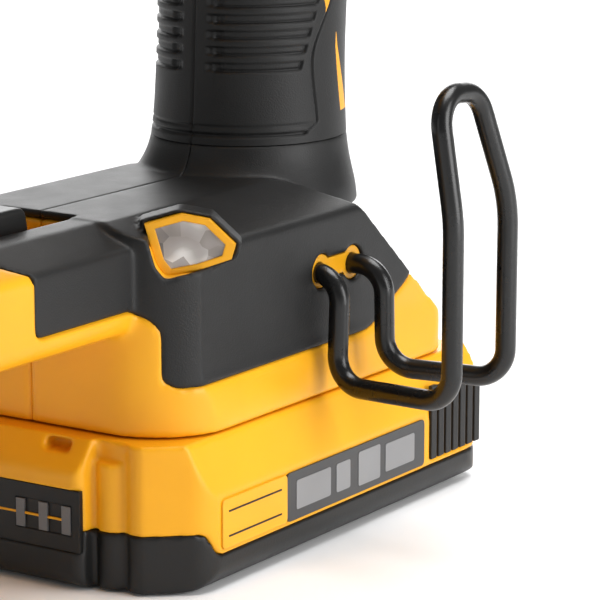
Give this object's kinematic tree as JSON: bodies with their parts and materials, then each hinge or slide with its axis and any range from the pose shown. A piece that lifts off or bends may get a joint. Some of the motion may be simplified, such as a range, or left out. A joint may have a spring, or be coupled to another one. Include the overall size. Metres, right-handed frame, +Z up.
{
  "type": "brad nailer",
  "caption": "Cordless brad nailer with a slide-on battery in its foot, a slim straight magazine, a wire belt hook, lamps on the foot and a flywheel drive in the head.",
  "frame": {"origin": "middle of the underside of the battery that the nailer stands on", "axes": "+Z up along the handle, -Y the way the brads leave, +X the side with the belt hook"},
  "size_m": [0.1049, 0.27, 0.2909],
  "materials": {
    "shell_yellow": "satin moulded plastic",
    "rubber_black": "fine textured overmould",
    "plastic_black": "satin moulded plastic",
    "lens_clear": "clear moulded lens",
    "hook_black": "satin coated wire",
    "steel": "plain steel",
    "alloy": "die cast",
    "magazine_grey": "satin",
    "cell_sleeve": "sleeved cells",
    "brass": "contact metal",
    "board_green": "circuit board",
    "bar_grey": "light pipe",
    "label_grey": "printed film",
    "magnet": "plated"
  },
  "bodies": {
    "housing": {"housing_right": "shell_yellow", "housing_left": "shell_yellow", "foot_overmould_right": "rubber_black", "foot_overmould_left": "rubber_black", "grip_overmould_right": "rubber_black", "grip_overmould_left": "rubber_black", "head_rear_cap": "rubber_black", "worklight_bezels": "shell_yellow", "worklight_lenses": "lens_clear", "housing_screws": "steel", "belt_hook": "hook_black", "hook_sockets": "shell_yellow", "controller_board": "board_green", "terminal_block": "brass", "trigger_switch": "plastic_black", "shaft_bearings": "steel", "stator": "magnet", "motor_covers": "plastic_black", "guide_rods": "steel", "rod_carrier": "alloy", "return_springs": "steel", "bumpers": "rubber_black", "arm_pin": "steel", "solenoid": "plastic_black", "nose_frame": "alloy", "nose_bolts": "steel", "door_hinge": "steel", "magazine_casing": "magazine_grey", "magazine_rails": "steel", "brad_strip": "steel", "magazine_end_cap": "rubber_black"},
    "battery": {"battery_lower_shell": "plastic_black", "battery_upper_shell": "shell_yellow", "battery_cells": "cell_sleeve", "battery_contacts": "brass", "battery_labels": "label_grey", "battery_side_grips": "rubber_black", "gauge_panel": "plastic_black", "gauge_bars": "bar_grey"},
    "gauge_button": {"gauge_button": "plastic_black"},
    "battery_release": {"battery_release": "plastic_black"},
    "mode_selector": {"mode_selector": "plastic_black"},
    "flywheel": {"flywheel": "steel", "rotor_magnets": "magnet", "flywheel_shaft": "steel"},
    "driver": {"driver_profile": "alloy", "driver_blade": "steel"},
    "activation_arm": {"activation_arm": "steel"},
    "pinch_roller": {"pinch_roller": "steel"},
    "plunger": {"solenoid_plunger": "steel"},
    "nose_door": {"nose_door": "steel"},
    "door_latch": {"door_latch": "plastic_black"},
    "contact_trip": {"contact_trip": "steel"},
    "depth_wheel": {"depth_wheel": "plastic_black"},
    "trip_foot": {"trip_foot": "steel", "no_mar_pad": "rubber_black"},
    "pusher": {"magazine_pusher": "plastic_black"},
    "trigger": {"trigger": "plastic_black"},
    "lock_off": {"lock_off_button": "shell_yellow"},
    "stall_lever": {"stall_release_lever": "plastic_black"}
  },
  "joints": [
    {"name": "battery_slide", "type": "slide", "parent": "housing", "child": "battery", "axis": [0, 1, 0], "range_m": [0, 0.12]},
    {"name": "gauge_press", "type": "slide", "parent": "battery", "child": "gauge_button", "axis": [0, 1, 0], "range_m": [0, 0.001], "stiffness_N_per_m": 1500, "springref_m": -0.0005},
    {"name": "release_press", "type": "slide", "parent": "battery", "child": "battery_release", "axis": [0, 0, -1], "range_m": [0, 0.003], "stiffness_N_per_m": 1500, "springref_m": -0.0015},
    {"name": "mode_slide", "type": "slide", "parent": "housing", "child": "mode_selector", "axis": [0, -1, 0], "range_m": [0, 0.006]},
    {"name": "flywheel_spin", "type": "hinge", "parent": "housing", "child": "flywheel", "pos_m": [0, -0.044, 0.222], "axis": [1, 0, 0], "continuous": true},
    {"name": "driver_stroke", "type": "slide", "parent": "housing", "child": "driver", "axis": [0, -1, 0], "range_m": [0, 0.066], "stiffness_N_per_m": 180, "springref_m": -0.02, "deforming": ["return_springs"]},
    {"name": "arm_swing", "type": "hinge", "parent": "housing", "child": "activation_arm", "pos_m": [0, -0.003, 0.268], "axis": [1, 0, 0], "range_deg": [0, 4.4], "stiffness_Nm_per_rad": 0.6, "springref_deg": -6.88},
    {"name": "roller_spin", "type": "hinge", "parent": "activation_arm", "child": "pinch_roller", "pos_m": [0, -0.044, 0.2644], "axis": [1, 0, 0], "continuous": true},
    {"name": "plunger_slide", "type": "slide", "parent": "housing", "child": "plunger", "axis": [0, -1, 0], "range_m": [0, 0.0015]},
    {"name": "nose_door_swing", "type": "hinge", "parent": "housing", "child": "nose_door", "pos_m": [0, -0.117, 0.2656], "axis": [-1, 0, 0], "range_deg": [0, 100]},
    {"name": "door_latch_swing", "type": "hinge", "parent": "nose_door", "child": "door_latch", "pos_m": [0, -0.1485, 0.2685], "axis": [-1, 0, 0], "range_deg": [0, 60]},
    {"name": "trip_press", "type": "slide", "parent": "housing", "child": "contact_trip", "axis": [0, 1, 0], "range_m": [0, 0.006], "stiffness_N_per_m": 600, "springref_m": -0.004},
    {"name": "depth_turn", "type": "hinge", "parent": "contact_trip", "child": "depth_wheel", "pos_m": [-0.0212, -0.136, 0.2475], "axis": [0, 1, 0], "range_deg": [-180, 180]},
    {"name": "depth_slide", "type": "slide", "parent": "contact_trip", "child": "trip_foot", "axis": [0, 1, 0], "range_m": [-0.0016, 0.0016]},
    {"name": "pusher_slide", "type": "slide", "parent": "housing", "child": "pusher", "axis": [0, 0, -1], "range_m": [0, 0.07], "stiffness_N_per_m": 40, "springref_m": -0.1},
    {"name": "trigger_pull", "type": "slide", "parent": "housing", "child": "trigger", "axis": [0, 1, 0], "range_m": [0, 0.006], "stiffness_N_per_m": 1200, "springref_m": -0.003},
    {"name": "lock_off_push", "type": "slide", "parent": "housing", "child": "lock_off", "axis": [1, 0, 0], "range_m": [0, 0.004]},
    {"name": "stall_lever_lift", "type": "hinge", "parent": "housing", "child": "stall_lever", "pos_m": [0, 0.036, 0.284], "axis": [-1, 0, 0], "range_deg": [0, 60]}
  ],
  "couplings": [
    {"joint": "plunger_slide", "follows": "arm_swing", "m_per_rad": 0.0195},
    {"joint": "depth_turn", "follows": "depth_slide", "rad_per_m": 1960}
  ]
}
